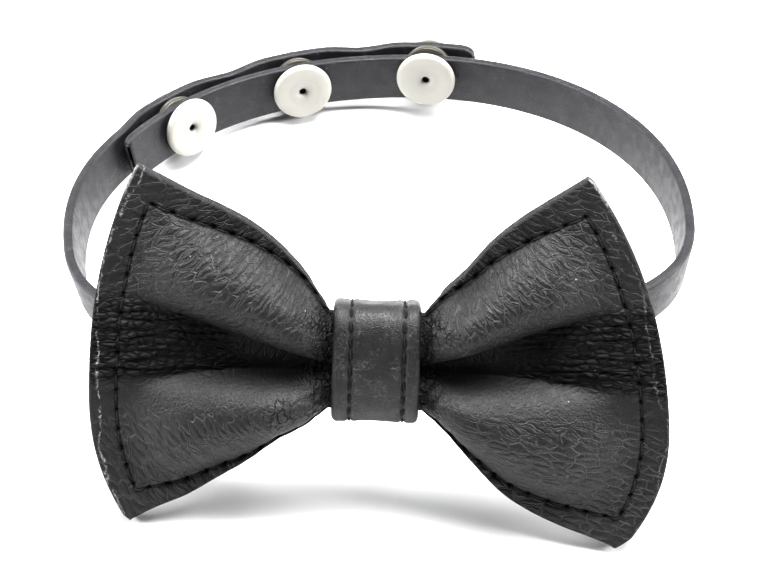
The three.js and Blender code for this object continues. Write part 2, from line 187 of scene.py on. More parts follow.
# What the bow leather's material reads from a wing's plan
FIELDS = ("seam", "side", "rim", "valley", "knot", "lit", "crumple", "needle", "wear")

# Leather colours
# Painted shade: the near black of the seam groove, the needle holes, the cracks and the valley
PAINTED_SHADE_BLACK = (0.002, 0.002, 0.0022, 1)
LEATHER_DARK = (0.012, 0.012, 0.0124, 1)
LEATHER_LIGHT = (0.026, 0.026, 0.0267, 1)
# Painted light: the paler grey beside the knot and on the crumples
KNOT_PAINTED_LIGHT_GREY = (0.06, 0.06, 0.061, 1)
# Painted highlight: the grey of the cell crests
CREST_HIGHLIGHT_GREY = (0.15, 0.15, 0.152, 1)
SCRATCH_GREY = (0.2, 0.2, 0.2, 1)
# The pale raw fibre of the worn edges; on the bow also the colour of the painted glints
FIBRE_AND_GLINT_PALE = (0.28, 0.276, 0.265, 1)
# Painted glints: the pale specks on the knot band and the strap
GLINT_SPECK_PALE = (0.5, 0.5, 0.48, 1)

# The sizes of the leather's cells in millimetres: across a lobe, beside the knot and along the valley
LOBE_CELL = (1.4, 3.9, 1.0)
SMALL_CELL = (0.8, 1.9, 1.0)
CRACK_CELL = (1.4, 2.6, 2.4)
VALLEY_CELL = (2.2, 0.9, 1.0)
BOW_RELIEF = 0.34

# Floor and camera
FLOOR_HALF = 3
CAMERA_AT = Vector((-0.0241, -0.3596, 0.5026))
CAMERA_TARGET = Vector((0.0010, -0.0090, 0.0163))
CAMERA_ROLL = math.radians(4.58)
CAMERA_LENS = 144


def lerp(a, b, t):
    return a + (b - a) * t


def smooth(x, start, stop):
    t = np.clip((x - start) / (stop - start), 0, 1)
    return t * t * (3 - 2 * t)


def bump(x, width):
    return np.exp(-(x / width) ** 2)


def read(rows, column, at):
    """A smooth curve through a table's rows."""
    key = next(iter(rows))
    xs, ys = np.array(rows[key], float), np.array(rows[column], float)
    slopes = np.gradient(ys, xs)
    at = np.clip(at, xs[0], xs[-1])
    i = np.clip(np.searchsorted(xs, at, side="right") - 1, 0, len(xs) - 2)
    step = xs[i + 1] - xs[i]
    t = (at - xs[i]) / step
    start = (1 + 2 * t) * (1 - t) ** 2 * ys[i] + t * (1 - t) ** 2 * step * slopes[i]
    stop = t * t * (3 - 2 * t) * ys[i + 1] + t * t * (t - 1) * step * slopes[i + 1]
    return start + stop


def noise(x, y, seed):
    """Smooth seeded noise between -1 and 1."""
    ix, iy = np.floor(x).astype(np.int64), np.floor(y).astype(np.int64)
    fx, fy = x - ix, y - iy
    fx, fy = fx * fx * (3 - 2 * fx), fy * fy * (3 - 2 * fy)

    def corner(dx, dy):
        n = (ix + dx) * 374761393 + (iy + dy) * 668265263 + seed * 1442695041
        n = ((n ^ (n >> 13)) & 0x7FFFFFFF) * 1274126177
        return ((n >> 16) & 0xFFFF) / 32767.5 - 1

    low = lerp(corner(0, 0), corner(1, 0), fx)
    high = lerp(corner(0, 1), corner(1, 1), fx)
    return lerp(low, high, fy)


def layered(x, y, seed):
    """Three layers of noise, each finer and fainter than the one before."""
    coarse = noise(x, y, seed)
    finer = noise(x * 2.1, y * 2.1, seed + 1) / 2
    finest = noise(x * 4.3, y * 4.3, seed + 2) / 4
    return (coarse + finer + finest) / 1.75


# Frames

def vertices_of(name):
    mesh = bpy.data.objects[name].data
    flat = np.empty(len(mesh.vertices) * 3)
    mesh.vertices.foreach_get("co", flat)
    return flat.reshape(-1, 3)


def axes_matrix(across, upward, outward, origin):
    return Matrix([[*row] for row in np.column_stack([across, upward, outward, origin])]).to_4x4()


def bow_frame():
    """The bow's own axes, from the knot band's flat front and sides and the front panel's flat back."""
    band = vertices_of("knot_band")
    faces = bpy.data.objects["knot_band"].data.polygons
    side = np.array(max(faces, key=lambda face: face.area * abs(face.normal.x) ** 4).normal)
    across = side * np.sign(side[0])
    front = np.array(max(faces, key=lambda face: face.area * abs(face.normal.y) ** 4).normal)
    outward = front * -np.sign(front[1])
    upward = np.cross(outward, across)

    def middle(direction):
        along = band @ direction
        return direction * (along.max() + along.min()) / 2

    back = (vertices_of("bow_front_panel") @ outward).min() - LAYER_GAP / 2 * MM
    origin = middle(across) + middle(upward) + outward * back
    return axes_matrix(across, upward, outward, origin)


def strap_reach():
    """How far the strap's tilted front leans towards the bow."""
    return STRAP_WIDTH / 2 * abs(math.tan(math.radians(BOW_LEAN)) + math.tan(math.radians(FRONT_FLARE)))


def bow_ahead():
    """How far the bow's middle plane stands ahead of the strap's middle line."""
    lean = math.radians(BOW_LEAN)
    return STRAP_THICKNESS / 2 + BOW_CLEARANCE + strap_reach() + (LAYER_GAP / 2 + WALL) / math.cos(lean)


def ring_frame(bow):
    """The ring's own axes, from the bow's and how the bow stands on the strap."""
    lean, turn = math.radians(BOW_LEAN), math.radians(BOW_TURN)
    place = Matrix.Translation(Vector((
        BOW_SHIFT,
        -RING_FRONT_DEPTH - bow_ahead() + BOW_RISE * math.sin(lean),
        BOW_RISE * math.cos(lean),
    )) * MM)
    tilt = Matrix.Rotation(math.pi / 2 - lean, 4, "X") @ Matrix.Rotation(-turn, 4, "Z")
    return bow @ (place @ tilt).inverted()


BOW = bow_frame()
RING = ring_frame(BOW)


def placed(points, matrix):
    """Points in millimetres in a frame of their own, as metres in the CAD's frame."""
    m = np.array(matrix)
    return points * MM @ m[:3, :3].T + m[:3, 3]


# Meshes

def make_piece(name, points, faces, material, matrix, node=None):
    mesh = bpy.data.meshes.new(name)
    mesh.from_pydata(placed(points, matrix).tolist(), [], faces)
    mesh.polygons.foreach_set("use_smooth", [True] * len(mesh.polygons))
    mesh.materials.append(material)
    made = bpy.data.objects.new(name, mesh)
    bpy.context.scene.collection.objects.link(made)
    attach(made, "root")
    if node:
        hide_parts(node)
    return made


def set_field(piece, name, values):
    field = piece.data.attributes.new(name, "FLOAT" if values.ndim == 1 else "FLOAT_VECTOR", "POINT")
    field.data.foreach_set("value" if values.ndim == 1 else "vector", values.ravel())


def grid_faces(columns, rows, around=False, flip=False, start=0):
    """Four-sided faces over a grid of points, column after column; around closes each column."""
    i, j = np.meshgrid(np.arange(columns - 1), np.arange(rows if around else rows - 1), indexing="ij")
    after = (j + 1) % rows
    corners = [i * rows + j, (i + 1) * rows + j, (i + 1) * rows + after, i * rows + after]
    faces = np.stack([c.ravel() for c in corners], axis=1) + start
    return (faces[:, ::-1] if flip else faces).tolist()


# The bow's plan

def wing_edges(wing, run, waist):
    """The heights of a wing's two long edges along its run."""
    top = lerp(waist, wing["top"][1] * HALF_HEIGHT, read(EDGE_ROWS, wing["climb_top"], run))
    low = lerp(-waist, wing["low"][1] * HALF_HEIGHT, read(EDGE_ROWS, wing["climb_low"], run))
    return top, low


def wing_x(wing, run, y, top, low):
    """How far out a point is, by its run and its height between the edges, with the side's belly."""
    h = (y - low) / (top - low) * 2 - 1
    reach_top = lerp(WAIST_X, wing["top"][0] * HALF_WIDTH, run)
    reach_low = lerp(WAIST_X, wing["low"][0] * HALF_WIDTH, run)
    off = np.abs((h - BELLY_AT) / np.where(h > BELLY_AT, 1 - BELLY_AT, 1 + BELLY_AT))
    belly = wing["belly"] * HALF_WIDTH * (1 - np.clip(off, 0, 1) ** BELLY_POWER) * run * run
    return lerp(reach_low, reach_top, (h + 1) / 2) + belly


def wing_plan(wing, columns, rows, back_waist):
    """The grid of a wing from the waist outwards, closer together at the waist and at the edges."""
    share = np.linspace(0, 1, columns)
    run = 1 - (1 - share ** 1.15) ** 1.03
    across = np.linspace(-1, 1, rows)
    across = np.sign(across) * (1 - (1 - np.abs(across)) ** 1.06)
    run, across = np.meshgrid(run, across, indexing="ij")
    waist = lerp(back_waist, WAIST_Y, smooth(run, 0, 0.12))
    top, low = wing_edges(wing, run, waist)
    y = lerp(low, top, (across + 1) / 2)
    x = wing_x(wing, run, y, top, low)
    side_top, side_low = wing_edges(wing, np.ones_like(run), WAIST_Y)
    side = wing_x(wing, np.ones_like(run), np.clip(y, side_low, side_top), side_top, side_low)
    plan = {"run": run, "x": x, "y": y, "top": top, "low": low, "to_side": np.maximum(side - x, 0)}
    round_tip(plan, top - y, wing["corner_top"], -1)
    round_tip(plan, y - low, wing["corner_low"], 1)
    return plan


def round_tip(plan, to_edge, radius, inward):
    """Rounds the corner between the side and a long edge."""
    a = np.clip(1 - plan["to_side"] / radius, 0, 1)
    b = np.clip(1 - to_edge / radius, 0, 1)
    plan["x"] -= radius * (a - a * np.sqrt(1 - b * b / 2))
    plan["y"] += inward * radius * (b - b * np.sqrt(1 - a * a / 2))


def seam_line(wing, spacing=0.5):
    """The seam round a wing, from the waist along the top, down the side and back along the bottom."""
    run = np.linspace(0.015, 1, 240)
    top, low = wing_edges(wing, run, WAIST_Y)
    side_top, side_low = wing_edges(wing, np.ones(1), WAIST_Y)

    def side_at(y):
        return wing_x(wing, 1.0, y, side_top, side_low) - SEAM_INSET

    def long_side(y):
        x = wing_x(wing, run, y, top, low)
        inside = x < side_at(y)
        return np.column_stack([x[inside], y[inside]])

    upper = long_side(top - read(MARGIN_ROWS, "top", run))
    lower = long_side(low + read(MARGIN_ROWS, wing["margin_low"], run))
    y = np.linspace(upper[-1, 1], lower[-1, 1], 160)[1:-1]
    line = np.vstack([upper, np.column_stack([side_at(y), y]), lower[::-1]])
    length = np.concatenate([[0], np.cumsum(np.linalg.norm(np.diff(line, axis=0), axis=1))])
    even = np.linspace(0, length[-1], int(length[-1] / spacing))
    line = np.column_stack([np.interp(even, length, line[:, k]) for k in (0, 1)])
    return line, even


def near_seam(plan, wing):
    """Each grid point's distance to the seam, and how far along the seam it is."""
    line, along = seam_line(wing)
    points = np.column_stack([plan["x"].ravel(), plan["y"].ravel()])
    nearest, far = np.zeros(len(points), int), np.full(len(points), 1e9)
    below = np.zeros(len(line), int)
    for k in range(len(line)):
        d = np.hypot(points[:, 0] - line[k, 0], points[:, 1] - line[k, 1])
        closer = d < far
        far[closer] = d[closer]
        nearest[closer] = k
        below[k] = d.argmin()
    plan.update(seam_line=line, seam_along=along, seam_below=below)
    return far.reshape(plan["x"].shape), along[nearest].reshape(plan["x"].shape)


# The bow's height

def lobe(y, start, stop, height):
    """A padded lobe's height across its width."""
    return height * read(LOBE_ROWS, "rise", np.clip((y - start) / (stop - start), 0, 1))


def padding(plan, wing, front):
    """The padded lobes above and below the valley."""
    run, y = plan["run"], plan["y"]
    lift = 1 - (1 - smooth(1 - run, SIDE_FLAT / HALF_WIDTH, 0.42)) ** 2
    seam_top = plan["top"] - read(MARGIN_ROWS, "top", run)
    seam_low = plan["low"] + read(MARGIN_ROWS, wing["margin_low"], run)
    if front:
        valley_top = read(FOLD_ROWS, "valley_top", run) * HALF_HEIGHT
        valley_low = read(FOLD_ROWS, "valley_low", run) * HALF_HEIGHT
        upper, lower = (read(FOLD_ROWS, k, run) * FRONT_LOBE for k in ("upper", "lower"))
    else:
        valley_top = lerp(WAIST_BACK_Y * 0.85, STRAP_WIDTH * 1.05, smooth(run, 0, 0.15))
        valley_low = -valley_top
        upper = lower = read(FOLD_ROWS, "back", run) * BACK_LOBE
    plan.update(valley_top=valley_top, valley_low=valley_low, seam_top=seam_top)
    return lift * (lobe(y, valley_top, seam_top, upper) + lobe(y, valley_low, seam_low, lower))


def valley_wrinkles(plan, seed):
    """Wavy creases along the valley, stronger towards the side."""
    x, y = plan["x"], plan["y"]
    inside = smooth(y, plan["valley_low"] - 1.5, plan["valley_low"] + 1.5)
    inside *= 1 - smooth(y, plan["valley_top"] - 1, plan["valley_top"] + 3)
    inside *= smooth(plan["run"], 0.3, 0.6)
    spread = (y - lerp(plan["valley_low"], plan["valley_top"], 0.35)) * (1.25 - 0.35 * plan["run"])
    wave = spread / WRINKLE_STEP + layered(x / 7, y / 2.6, seed) * 0.75
    crest = np.abs(np.sin(wave * math.pi)) ** 0.75
    broken = 0.55 + 0.45 * noise(x / 4.5, y / 1.3, seed + 7)
    return WRINKLE_DEPTH * inside * crest * broken, inside


def gathers(plan, seed):
    """Small folds pressed together beside the knot band."""
    from_band = plan["x"] - KNOT_WIDTH / 2
    near = 1 - smooth(from_band, 0.5, 9)
    radial = plan["y"] / (1 + from_band * 0.07)
    rays = np.sin(radial * 1.9 + 2.2 * noise(plan["x"] / 5, plan["y"] / 4, seed))
    crumple = layered(plan["x"] / 1.5, plan["y"] / 1.3, seed + 3)
    pressed = np.sin(from_band * 6.3 + 1.5 * noise(plan["x"] / 3, plan["y"] / 4, seed + 5))
    return near * (0.3 * rays + 0.4 * crumple) + 0.22 * pressed * (1 - smooth(from_band, 1.5, 3.2)), near


def crumpled(plan, places):
    """How crumpled each grid point is, from 0 to 1."""
    share = np.zeros(plan["x"].shape)
    for x, y, width in places:
        share = np.maximum(share, bump(np.hypot(plan["x"] - x, plan["y"] - y), width))
    return share


def panel_wing(wing, front, columns, rows):
    """A wing's plan, with its face's height over the middle plane and what its material reads."""
    plan = wing_plan(wing, columns, rows, WAIST_Y if front else WAIST_BACK_Y)
    seed = (11 if front else 31) + wing["side"]
    rise = padding(plan, wing, front)
    to_seam, along = near_seam(plan, wing)
    to_edge = np.minimum.reduce([plan["top"] - plan["y"], plan["y"] - plan["low"], plan["to_side"]])
    past_waist = smooth(plan["run"], 0.01, 0.06)
    pucker = 0.5 - 0.5 * np.cos(along / STITCH * 2 * math.pi)
    rise = rise + past_waist * bump(to_seam, 2.2) * (pucker - 0.5) * PUCKER
    rise = rise - past_waist * bump(to_seam, 0.5) * (SEAM_DEPTH - 0.14 * pucker)
    wrinkles, in_valley = valley_wrinkles(plan, seed)
    folds, near_knot = gathers(plan, seed)
    waves = 0.22 * layered(plan["x"] / 9, plan["y"] / 7, seed + 9)
    crumple = crumpled(plan, wing["crumples"] if front else [])
    rise = rise + 0.14 * crumple * layered(plan["x"] / 1.3, plan["y"] / 1.7, seed + 15)
    needle = bump(to_seam, 0.4) * smooth(1 - pucker, 0.9, 0.985) * past_waist
    rise = rise - NEEDLE_DEPTH * needle
    fade = smooth(to_edge, 0.3, 3.5)
    rise = rise + (wrinkles if front else 0) + fade * (folds * past_waist + waves)
    into_round = np.clip(EDGE_ROUND - to_edge, 0, None)
    rounded = EDGE_ROUND - np.sqrt(np.clip(EDGE_ROUND ** 2 - into_round ** 2, 0, None))
    face = np.maximum(LAYER_GAP / 2 + WALL + rise - rounded, LAYER_GAP / 2 + LEAST_WALL)
    from_tip = wing["top"][1] * HALF_HEIGHT - plan["y"]
    near_tip = (TIP_WEAR if front else 0) * (1 - smooth(from_tip, 4, 7))
    lit = near_tip * (1 - smooth(plan["to_side"], 0.1, 0.55))
    wear = wing["wear"] * (1 - smooth(plan["to_side"], 3.0, 4.0))
    plan.update(face=face, seam=to_seam, side=plan["to_side"], rim=to_edge, valley=in_valley)
    plan.update(knot=near_knot, lit=lit, crumple=crumple, needle=needle, wear=wear)
    return plan


def joined(left, right, key, mirrored=False):
    """Both wings' values as one grid, from the left tip to the right one."""
    flip = -1 if mirrored else 1
    return np.vstack([flip * left[key][::-1], right[key]])


def grain_flow(left, right, x, y):
    """The way of the grain: across and along the cells on each lobe, and how strong it is."""
    valley_top, valley_low = joined(left, right, "valley_top"), joined(left, right, "valley_low")
    upper = y > (valley_top + valley_low) / 2
    above = CREASE_CENTRE - y
    on_right = x > 0
    grain_x, grain_y = (np.where(on_right, RIGHT_GRAIN[k], LEFT_GRAIN[k]) for k in (0, 1))
    lower_across = grain_x * x + grain_y * y
    lower_length = np.where(on_right, 1, -1) * (grain_y * x - grain_x * y)
    across = np.where(upper, CREASE_CENTRE * np.arctan2(x, above), lower_across)
    length = np.where(upper, np.hypot(x, above), GRAIN_APART + lower_length)
    flow = np.stack([across, length, 0 * x], axis=2)
    inside = smooth(joined(left, right, "seam_top") - y, -0.5, 0.5)
    inside = inside * smooth(joined(left, right, "to_side"), SEAM_INSET - 1, SEAM_INSET)
    strength = np.where(upper, 1, 0.12 + 0.88 * smooth(valley_low - y, 4, 10)) * (0.75 + 0.25 * inside)
    return flow, strength


def bow_panel(name, node, front, columns, rows, material):
    """A leather panel over both wings, with a skirt round its rim, and the two wings' plans."""
    left = panel_wing(LEFT, front, columns, rows)
    right = panel_wing(RIGHT, front, columns, rows)
    x = joined(left, right, "x", mirrored=True)
    y, face = joined(left, right, "y"), joined(left, right, "face")
    way = 1 if front else -1
    count, tall = x.shape
    points = np.stack([x, y, way * face], axis=2).reshape(-1, 3)
    index = np.arange(count * tall).reshape(count, tall)
    rim = np.concatenate([index[0, :], index[1:, -1], index[-1, -2::-1], index[-2:0:-1, 0]])
    under = points[rim].copy()
    under[:, 2] = way * RIM_FOOT
    hem = np.arange(len(rim)) + len(points)
    after = np.roll(np.arange(len(rim)), -1)
    skirt = np.column_stack([rim, rim[after], hem[after], hem])
    skirt = skirt[:, ::-1] if front else skirt
    faces = grid_faces(count, tall, flip=not front) + skirt[:, ::-1].tolist()
    made = make_piece(name, np.vstack([points, under]), faces, material, BOW, node)

    def field(values):
        flat = values.reshape(len(points), -1)
        return np.vstack([flat, flat[rim]]).squeeze()

    flow, strength = grain_flow(left, right, x, y)
    set_field(made, "flow", field(flow))
    set_field(made, "plan", field(np.stack([x, y, 0 * x], axis=2)))
    set_field(made, "grain", field(strength))
    for key in FIELDS:
        set_field(made, key, field(joined(left, right, key)))
    return made, left, right


# Materials

def add(tree, kind, inputs=None, **settings):
    """A shader node with its settings and its inputs, each a value or another node's output."""
    made = tree.nodes.new("ShaderNode" + kind)
    for name, value in settings.items():
        setattr(made, name, value)
    for socket, value in (inputs or {}).items():
        if isinstance(value, bpy.types.NodeSocket):
            tree.links.new(value, made.inputs[socket])
        else:
            made.inputs[socket].default_value = value
    return made


def maths(tree, operation, a, b=0.0):
    return add(tree, "Math", {0: a, 1: b}, operation=operation).outputs[0]


def times(tree, a, b):
    return maths(tree, "MULTIPLY", a, b)


def most(tree, a, b):
    return maths(tree, "MAXIMUM", a, b)


def ramp(tree, value, start, stop, low=0.0, high=1.0):
    """A value eased from low to high between start and stop."""
    values = {"Value": value, "From Min": start, "From Max": stop, "To Min": low, "To Max": high}
    return add(tree, "MapRange", values, interpolation_type="SMOOTHSTEP").outputs["Result"]


def mixed(tree, share, a, b):
    colours = {0: share, 6: a, 7: b}
    return add(tree, "Mix", colours, data_type="RGBA").outputs[2]


def field_of(tree, name, vector=False):
    return add(tree, "Attribute", attribute_name=name).outputs["Vector" if vector else "Fac"]


def clouds(tree, where, scale, detail=2.0, output="Fac"):
    return add(tree, "TexNoise", {"Vector": where, "Scale": scale, "Detail": detail}).outputs[output]


def cell_edges(tree, where, scale, flat=False):
    cells = {"Vector": where, "Scale": scale}
    plane = "2D" if flat else "3D"
    made = add(tree, "TexVoronoi", cells, feature="DISTANCE_TO_EDGE", voronoi_dimensions=plane)
    return made.outputs["Distance"]


def nudged(tree, where, push, amounts):
    """Places moved by another vector, by its own amount on each axis."""
    return add(tree, "VectorMath", {0: push, 1: amounts, 2: where}, operation="MULTIPLY_ADD").outputs[0]


def stretched(tree, where, scales):
    return add(tree, "Mapping", {"Vector": where, "Scale": scales}, vector_type="TEXTURE").outputs[0]


def millimetres(tree):
    """Places on the piece in millimetres, so that each pattern has its real size."""
    here = add(tree, "TexCoord").outputs["Object"]
    return add(tree, "VectorMath", {0: here, "Scale": 1 / MM}, operation="SCALE").outputs[0]


def start_material(name, specular=0.5):
    made = bpy.data.materials.new(name)
    made.use_nodes = True
    tree = made.node_tree
    shader = tree.nodes["Principled BSDF"]
    shader.inputs["Specular IOR Level"].default_value = specular
    return made, tree, shader


def finish_material(tree, shader, colour, roughness, height, depth):
    """Sets a colour, a roughness and a relief of that depth in millimetres."""
    relief = add(tree, "Bump", {"Height": height, "Distance": depth * MM, "Strength": 1.0})
    tree.links.new(colour, shader.inputs["Base Color"])
    tree.links.new(roughness, shader.inputs["Roughness"])
    tree.links.new(relief.outputs[0], shader.inputs["Normal"])


def glint_specks(tree, here):
    """A few pale specks, one in many cells: painted glints."""
    specks = add(tree, "TexVoronoi", {"Vector": here, "Scale": 0.42})
    near = ramp(tree, specks.outputs["Distance"], 0.045, 0.075, 1.0, 0.0)
    pick = add(tree, "SeparateColor", {0: specks.outputs["Color"]}).outputs[0]
    return times(tree, near, maths(tree, "GREATER_THAN", pick, 0.93))


def lobe_cells(tree, here, flow, shiver):
    """Long cells across the lobes: their crests, their plump backs and the small cells among them."""
    wander = clouds(tree, here, 0.3, 1.0, "Color")
    bent = add(tree, "VectorMath", {0: wander, 1: (1.3, 2.6, 0.0)}, operation="MULTIPLY").outputs[0]
    bent = nudged(tree, bent, shiver, (0.4, 0.7, 0.0))
    swept = add(tree, "VectorMath", {0: flow, 1: bent}, operation="ADD").outputs[0]
    edges = cell_edges(tree, stretched(tree, swept, LOBE_CELL), 1.0, flat=True)
    small = cell_edges(tree, stretched(tree, swept, SMALL_CELL), 1.0, flat=True)
    return ramp(tree, edges, 0.0, 0.1, 1.0, 0.0), ramp(tree, edges, 0.0, 0.4), ramp(tree, small, 0.0, 0.2)


def worn_edges(tree, here, side, rim, lit):
    """Scuffed fibre along a wavering line inside the side edges, and pale raw edges at the top tips."""
    waver = ramp(tree, clouds(tree, here, 0.07, 1.0), 0.3, 0.7, 0.8, 3.0)
    ragged = times(tree, clouds(tree, here, 0.9, 5.0), 1.7)
    off = maths(tree, "ABSOLUTE", maths(tree, "SUBTRACT", maths(tree, "ADD", side, ragged), waver))
    scuff = ramp(tree, off, 0.02, 0.3, 1.0, 0.0)
    scuff = times(tree, scuff, ramp(tree, clouds(tree, here, 2.2, 4.0), 0.36, 0.6, 0.12, 1.0))
    scuff = times(tree, scuff, ramp(tree, clouds(tree, here, 0.6, 5.0), 0.38, 0.56))
    scuff = times(tree, scuff, field_of(tree, "wear"))
    raw = times(tree, ramp(tree, rim, 0.02, 0.25, 1.0, 0.0), 0.02)
    raw = most(tree, raw, times(tree, lit, ramp(tree, clouds(tree, here, 1.4), 0.3, 0.6)))
    return most(tree, scuff, raw)


def bow_leather_material():
    """Grained black leather, wrinkled in the valley, cracked beside the knot, scuffed at the sides."""
    made, tree, shader = start_material("bow_leather", 0.34)
    here = millimetres(tree)
    plan, flow = field_of(tree, "plan", True), field_of(tree, "flow", True)
    valley, knot, crumple = field_of(tree, "valley"), field_of(tree, "knot"), field_of(tree, "crumple")
    side, rim, lit = field_of(tree, "side"), field_of(tree, "rim"), field_of(tree, "lit")
    seam, needle, grain = (field_of(tree, name) for name in ("seam", "needle", "grain"))

    # Long plump cells across the lobes, fainter in the valley, at the knot and on the margins
    shiver = clouds(tree, here, 1.3, 2.0, "Color")
    crest, plump, small = lobe_cells(tree, here, flow, shiver)
    fading = ramp(tree, clouds(tree, here, 0.45, 3.0), 0.38, 0.56, 0.25, 1.0)
    away = times(tree, ramp(tree, valley, 0.1, 0.6, 1.0, 0.0), ramp(tree, knot, 0.2, 0.8, 1.0, 0.1))
    away = times(tree, away, grain)
    creases = times(tree, times(tree, crest, fading), away)

    # Pebbled grain all over, crumpled beside the knot, and stretched along the valley
    jog = nudged(tree, here, shiver, (1.1, 1.1, 1.1))
    pebble = ramp(tree, cell_edges(tree, jog, 1.05), 0.0, 0.3)
    crackle = ramp(tree, cell_edges(tree, stretched(tree, jog, CRACK_CELL), 1.0), 0.0, 0.11, 1.0, 0.0)
    where = most(tree, crumple, times(tree, knot, 0.9))
    where = times(tree, where, ramp(tree, clouds(tree, here, 0.6, 2.0), 0.3, 0.5, 0.4, 1.0))
    crack = times(tree, crackle, ramp(tree, where, 0.3, 0.95))
    wrinkle = ramp(tree, cell_edges(tree, stretched(tree, plan, VALLEY_CELL), 1.0), 0.0, 0.3)
    parts = [
        (pebble, 0.13),
        (creases, 0.6),
        (times(tree, plump, away), 0.5),
        (times(tree, small, away), 0.05),
        (times(tree, pebble, knot), 0.45),
        (times(tree, wrinkle, valley), 1.1),
        (clouds(tree, here, 2.8, 4.0), 0.09),
        (crack, -1.2),
    ]
    height = 0.0
    for part, weight in parts:
        height = maths(tree, "ADD", times(tree, part, weight), height)

    # Colour: painted shade, near black, in the seam groove, the needle holes, the cracks and the valley; a
    # painted highlight, greyer, on the crests; painted light, paler, beside the knot
    tone = mixed(tree, clouds(tree, here, 0.07, 3.0), LEATHER_DARK, LEATHER_LIGHT)
    # Painted light: paler beside the knot and on the crumples, against the shade of the band
    tone = mixed(tree, times(tree, where, 0.4), tone, KNOT_PAINTED_LIGHT_GREY)
    # Painted highlight: crest lines mixed towards grey
    marked_tone = mixed(tree, times(tree, creases, 0.2), tone, CREST_HIGHLIGHT_GREY)
    # Painted shade: black in the seam groove, the needle holes, the cracks, the valley and the gaps between
    # its wrinkles, the valley darker towards the knot
    seam_shade = ramp(tree, seam, 0.2, 0.55, 1.0, 0.0)
    wrinkle_gap_shade = ramp(tree, wrinkle, 0.3, 0.75, 1.0, 0.0)
    valley_shade = most(tree, ramp(tree, side, 5.0, 26.0, 0.5, 0.98), wrinkle_gap_shade)
    valley_shade = times(tree, valley, valley_shade)
    painted_shade = most(tree, most(tree, crack, seam_shade), valley_shade)
    painted_shade = most(tree, painted_shade, needle)
    marked_tone = mixed(tree, painted_shade, marked_tone, PAINTED_SHADE_BLACK)
    # Pale: scuffed fibre and raw edges that the leather has, and pale specks painted as glints
    pale = most(tree, worn_edges(tree, here, side, rim, lit), glint_specks(tree, here))
    colour = mixed(tree, pale, marked_tone, FIBRE_AND_GLINT_PALE)
    patches = ramp(tree, clouds(tree, here, 0.5, 3.0), 0.3, 0.7, 0.46, 0.56)
    dull = most(tree, times(tree, painted_shade, 0.3), times(tree, pale, 0.3))
    edge = ramp(tree, rim, 0.1, 0.5, 0.3, 0.0)
    roughness = maths(tree, "ADD", patches, most(tree, dull, edge))
    finish_material(tree, shader, colour, roughness, height, BOW_RELIEF)
    return made


def smooth_leather(name, low, high, roughness, relief, worn_share):
    """Smoother leather for the knot band and the strap, mottled, with fine scratches."""
    made, tree, shader = start_material(name)
    here = millimetres(tree)
    pores = ramp(tree, cell_edges(tree, here, 2.3), 0.0, 0.3)
    fine = clouds(tree, here, 4.0, 4.0)
    jog = nudged(tree, here, clouds(tree, here, 0.9, 3.0, "Color"), (1.6, 1.6, 1.6))
    long = ramp(tree, cell_edges(tree, stretched(tree, jog, (2.2, 3.4, 2.8)), 1.0), 0.0, 0.035, 1.0, 0.0)
    short = ramp(tree, cell_edges(tree, stretched(tree, jog, (1.3, 0.9, 1.1)), 1.0), 0.0, 0.06, 1.0, 0.0)
    here_and_there = ramp(tree, clouds(tree, here, 0.3, 3.0), 0.42, 0.6)
    scratch = most(tree, long, times(tree, short, 0.7))
    scratch = times(tree, scratch, here_and_there)
    scratch = times(tree, scratch, ramp(tree, clouds(tree, here, 1.7, 3.0), 0.42, 0.6))
    rub = ramp(tree, clouds(tree, here, 0.45, 5.0), 0.36, 0.66)
    height = maths(tree, "ADD", times(tree, pores, 0.3), times(tree, fine, 0.6))
    height = maths(tree, "ADD", height, times(tree, scratch, 0.6))
    tone = mixed(tree, clouds(tree, here, 0.3, 5.0), (*low, 1), (*high, 1))
    marked_tone = mixed(tree, times(tree, scratch, worn_share), tone, SCRATCH_GREY)
    # Pale specks painted as glints
    colour = mixed(tree, glint_specks(tree, here), marked_tone, GLINT_SPECK_PALE)
    rough = maths(tree, "ADD", times(tree, rub, 0.13), roughness)
    finish_material(tree, shader, colour, rough, height, relief)
    return made


def thread_material():
    made, tree, shader = start_material("black_thread", 0.4)
    here = millimetres(tree)
    strands = {"Vector": here, "Scale": 1.6, "Distortion": 2.0}
    twist = add(tree, "TexWave", strands, bands_direction="DIAGONAL")
    fuzz = clouds(tree, here, 5.0, 3.0)
    colour = mixed(tree, ramp(tree, fuzz, 0.6, 0.75), (0.004, 0.004, 0.004, 1), (0.03, 0.03, 0.03, 1))
    height = maths(tree, "ADD", twist.outputs["Fac"], fuzz)
    finish_material(tree, shader, colour, ramp(tree, fuzz, 0.3, 0.7, 0.5, 0.75), height, 0.05)
    return made


def snap_material(name, low, high):
    """Moulded plastic, faintly cloudy, with painted shade dark in its pinhole and grey round it."""
    made, tree, shader = start_material(name)
    here = millimetres(tree)
    pinhole_shade = field_of(tree, "pinhole_shade")
    swirl = clouds(tree, here, 0.22, 2.0)
    tone = mixed(tree, swirl, (*low, 1), (*high, 1))
    colour = mixed(tree, pinhole_shade, tone, (0.02, 0.02, 0.022, 1))
    roughness = ramp(tree, clouds(tree, here, 0.9, 3.0), 0.3, 0.7, 0.3, 0.42)
    finish_material(tree, shader, colour, roughness, clouds(tree, here, 0.8, 2.0), 0.04)
    return made


BOW_LEATHER = bow_leather_material()
BAND_LEATHER = smooth_leather(
    "band_leather", low=(0.006, 0.006, 0.0065), high=(0.028, 0.028, 0.0285),
    roughness=0.4, relief=0.12, worn_share=0.3)
STRAP_LEATHER = smooth_leather(
    "strap_leather", low=(0.0095, 0.0095, 0.0115), high=(0.025, 0.025, 0.0285),
    roughness=0.42, relief=0.1, worn_share=0.14)
THREAD_BLACK = thread_material()
CREAM = snap_material("cream_plastic", (0.32, 0.312, 0.284), (0.365, 0.358, 0.33))
